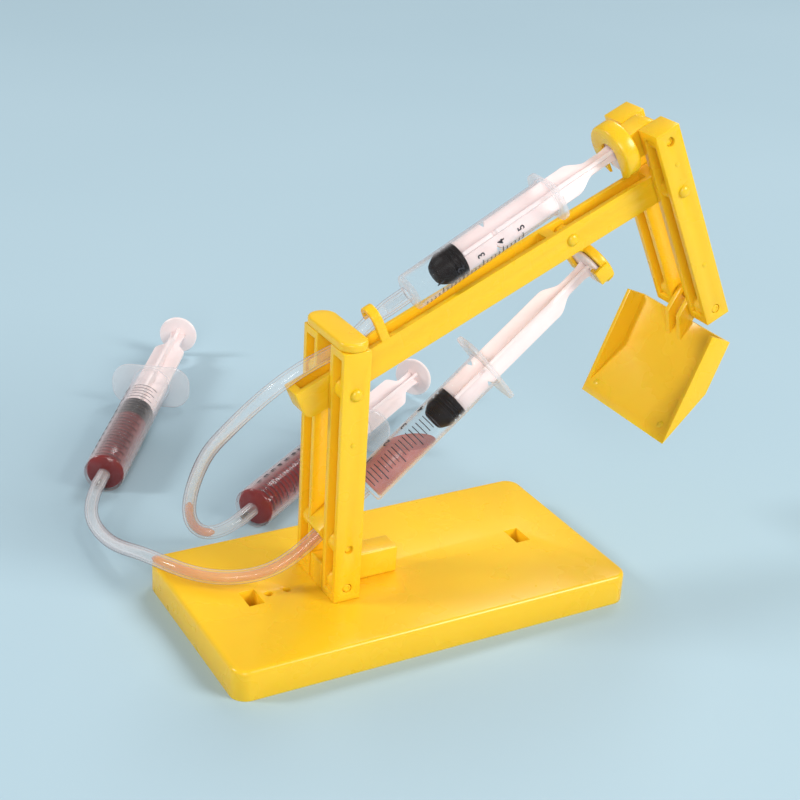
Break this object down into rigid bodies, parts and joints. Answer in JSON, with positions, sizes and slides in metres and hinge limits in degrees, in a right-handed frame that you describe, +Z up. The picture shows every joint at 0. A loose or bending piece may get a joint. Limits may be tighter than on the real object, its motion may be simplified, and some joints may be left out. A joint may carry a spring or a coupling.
{
  "type": "hydraulic arm kit",
  "caption": "Toy hydraulic arm on a base plate: boom, elbow and bucket moved by syringe cylinders that hand syringes drive through clear tubes.",
  "frame": {"origin": "centre of the base plate's underside", "axes": "+X along the base towards the bucket, +Y towards the hand syringes, +Z up"},
  "size_m": [0.2237, 0.2847, 0.1783],
  "materials": {
    "yellow_plastic": "satin gloss moulded ABS",
    "clear_plastic": "clear polypropylene",
    "plunger_plastic": "translucent white polypropylene",
    "black_rubber": "matt black",
    "red_liquid": "dark red coloured water",
    "pale_liquid": "pale red coloured water",
    "clear_tubing": "clear flexible PVC"
  },
  "bodies": {
    "base": {"base_plate": "yellow_plastic", "foot_block": "yellow_plastic", "post_leg_near": "yellow_plastic", "post_leg_far": "yellow_plastic", "post_cap": "yellow_plastic", "leg_pin": "yellow_plastic", "boom_pin": "yellow_plastic", "lift_control_barrel": "clear_plastic", "lift_control_fluid": "red_liquid", "elbow_control_barrel": "clear_plastic", "elbow_control_fluid": "red_liquid", "lift_tube": "clear_tubing", "elbow_tube": "clear_tubing"},
    "boom": {"boom_beam": "yellow_plastic", "nozzle_hook": "yellow_plastic", "lift_clip_pin": "yellow_plastic", "elbow_barrel": "clear_plastic"},
    "lift_cylinder": {"lift_trunnion": "yellow_plastic", "lift_barrel": "clear_plastic", "lift_fluid": "pale_liquid"},
    "lift_rod": {"lift_piston": "black_rubber", "lift_plunger": "plunger_plastic", "lift_rod_clip": "yellow_plastic"},
    "elbow_rod": {"elbow_piston": "black_rubber", "elbow_plunger": "plunger_plastic", "elbow_rod_clip": "yellow_plastic"},
    "forearm": {"forearm_leg_near": "yellow_plastic", "forearm_leg_far": "yellow_plastic", "elbow_pin": "yellow_plastic", "rod_clip_pin": "yellow_plastic", "bucket_pin": "yellow_plastic"},
    "bucket": {"bucket": "yellow_plastic"},
    "lift_hand_rod": {"lift_control_piston": "black_rubber", "lift_control_plunger": "plunger_plastic"},
    "elbow_hand_rod": {"elbow_control_piston": "black_rubber", "elbow_control_plunger": "plunger_plastic"}
  },
  "joints": [
    {"name": "boom_hinge", "type": "hinge", "parent": "base", "child": "boom", "pos_m": [-0.0264, 0, 0.094], "axis": [0, -1, 0], "range_deg": [-15, 10], "deforming": ["elbow_tube"]},
    {"name": "lift_swing", "type": "hinge", "parent": "base", "child": "lift_cylinder", "pos_m": [-0.0264, 0, 0.0332], "axis": [0, -1, 0], "range_deg": [-10.9, 7.3], "deforming": ["lift_tube"]},
    {"name": "lift_extend", "type": "slide", "parent": "lift_cylinder", "child": "lift_rod", "axis": [0.7683, 0, 0.6401], "range_m": [-0.0112, 0.0075], "deforming": ["lift_fluid"]},
    {"name": "lift_hand_slide", "type": "slide", "parent": "base", "child": "lift_hand_rod", "axis": [0.5533, 0.8328, 0.0188], "range_m": [-0.0048, 0.0071], "deforming": ["lift_control_fluid"]},
    {"name": "elbow_hinge", "type": "hinge", "parent": "boom", "child": "forearm", "pos_m": [0.1039, 0, 0.1527], "axis": [0, -1, 0], "range_deg": [-18, 18]},
    {"name": "elbow_extend", "type": "slide", "parent": "boom", "child": "elbow_rod", "axis": [0.8821, 0, 0.471], "range_m": [-0.0067, 0.0067]},
    {"name": "elbow_hand_slide", "type": "slide", "parent": "base", "child": "elbow_hand_rod", "axis": [0.8215, 0.5699, 0.0188], "range_m": [-0.0043, 0.0043], "deforming": ["elbow_control_fluid"]},
    {"name": "bucket_tilt", "type": "hinge", "parent": "forearm", "child": "bucket", "pos_m": [0.1272, 0, 0.1038], "axis": [0, -1, 0], "range_deg": [-30, 30]}
  ],
  "couplings": [
    {"joint": "lift_swing", "follows": "boom_hinge", "ratio": 0.7199},
    {"joint": "lift_extend", "follows": "boom_hinge", "m_per_rad": 0.042278},
    {"joint": "lift_hand_slide", "follows": "boom_hinge", "m_per_rad": -0.0268},
    {"joint": "elbow_extend", "follows": "elbow_hinge", "m_per_rad": -0.02095},
    {"joint": "elbow_hand_slide", "follows": "elbow_hinge", "m_per_rad": 0.01328}
  ]
}
